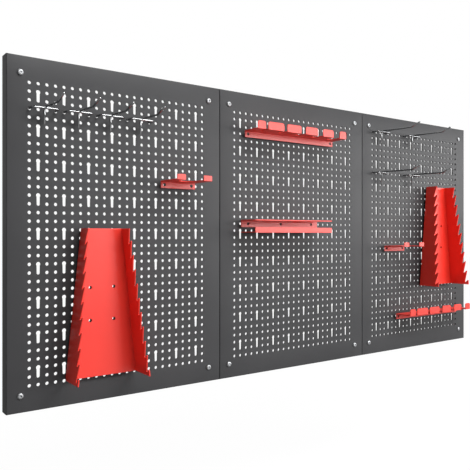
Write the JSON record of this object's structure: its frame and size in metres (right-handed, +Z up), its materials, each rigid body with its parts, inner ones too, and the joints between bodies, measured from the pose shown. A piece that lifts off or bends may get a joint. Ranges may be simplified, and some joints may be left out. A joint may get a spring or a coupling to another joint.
{
  "type": "pegboard tool wall",
  "caption": "Wide perforated steel pegboard in three abutting trays, with bent-wire hooks, toothed wrench racks, slotted shelf holders and a bit rail.",
  "frame": {"origin": "centre of the wall plane behind the middle panel, halfway up", "axes": "+X to the right along the row of panels seen from the front, +Y into the wall, +Z up"},
  "size_m": [1.1994, 0.1781, 0.577],
  "materials": {
    "panel_coat": "fine-textured matt powder coat, anthracite",
    "red_coat": "smooth satin powder coat, red",
    "bright_wire": "bright zinc or chrome plating",
    "zinc_screw": "bright zinc plating"
  },
  "bodies": {
    "wall_set": {"panel_left": "panel_coat", "panel_centre": "panel_coat", "panel_right": "panel_coat", "wall_screw_1": "zinc_screw", "wall_screw_2": "zinc_screw", "wall_screw_3": "zinc_screw", "wall_screw_4": "zinc_screw", "wall_screw_5": "zinc_screw", "wall_screw_6": "zinc_screw", "wall_screw_7": "zinc_screw", "wall_screw_8": "zinc_screw", "wall_screw_9": "zinc_screw", "wall_screw_10": "zinc_screw", "wall_screw_11": "zinc_screw", "wall_screw_12": "zinc_screw", "wrench_rack_left": "red_coat", "wrench_rack_right": "red_coat", "tab_holder_left": "red_coat", "tab_holder_right": "red_coat", "tool_holder_centre": "red_coat", "tool_holder_right": "red_coat", "bit_rail": "red_coat"},
    "hook_short_1": {"hook_short_1": "bright_wire"},
    "hook_short_2": {"hook_short_2": "bright_wire"},
    "hook_short_3": {"hook_short_3": "bright_wire"},
    "hook_short_4": {"hook_short_4": "bright_wire"},
    "hook_long_1": {"hook_long_1": "bright_wire"},
    "hook_long_2": {"hook_long_2": "bright_wire"},
    "hook_long_3": {"hook_long_3": "bright_wire"},
    "hook_long_4": {"hook_long_4": "bright_wire"}
  },
  "joints": [
    {"name": "hook_short_1_tilt", "type": "hinge", "parent": "wall_set", "child": "hook_short_1", "pos_m": [-0.54335, -0.0235, 0.20445], "axis": [-1, 0, 0], "range_deg": [0, 25]},
    {"name": "hook_short_2_tilt", "type": "hinge", "parent": "wall_set", "child": "hook_short_2", "pos_m": [-0.48695, -0.0235, 0.20445], "axis": [-1, 0, 0], "range_deg": [0, 25]},
    {"name": "hook_short_3_tilt", "type": "hinge", "parent": "wall_set", "child": "hook_short_3", "pos_m": [-0.43055, -0.0235, 0.20445], "axis": [-1, 0, 0], "range_deg": [0, 25]},
    {"name": "hook_short_4_tilt", "type": "hinge", "parent": "wall_set", "child": "hook_short_4", "pos_m": [-0.37415, -0.0235, 0.20445], "axis": [-1, 0, 0], "range_deg": [0, 25]},
    {"name": "hook_long_1_tilt", "type": "hinge", "parent": "wall_set", "child": "hook_long_1", "pos_m": [0.25665, -0.0235, 0.24675], "axis": [-1, 0, 0], "range_deg": [0, 25]},
    {"name": "hook_long_2_tilt", "type": "hinge", "parent": "wall_set", "child": "hook_long_2", "pos_m": [0.36945, -0.0235, 0.24675], "axis": [-1, 0, 0], "range_deg": [0, 25]},
    {"name": "hook_long_3_tilt", "type": "hinge", "parent": "wall_set", "child": "hook_long_3", "pos_m": [0.25665, -0.0235, 0.14805], "axis": [-1, 0, 0], "range_deg": [0, 25]},
    {"name": "hook_long_4_tilt", "type": "hinge", "parent": "wall_set", "child": "hook_long_4", "pos_m": [0.36945, -0.0235, 0.14805], "axis": [-1, 0, 0], "range_deg": [0, 25]}
  ]
}
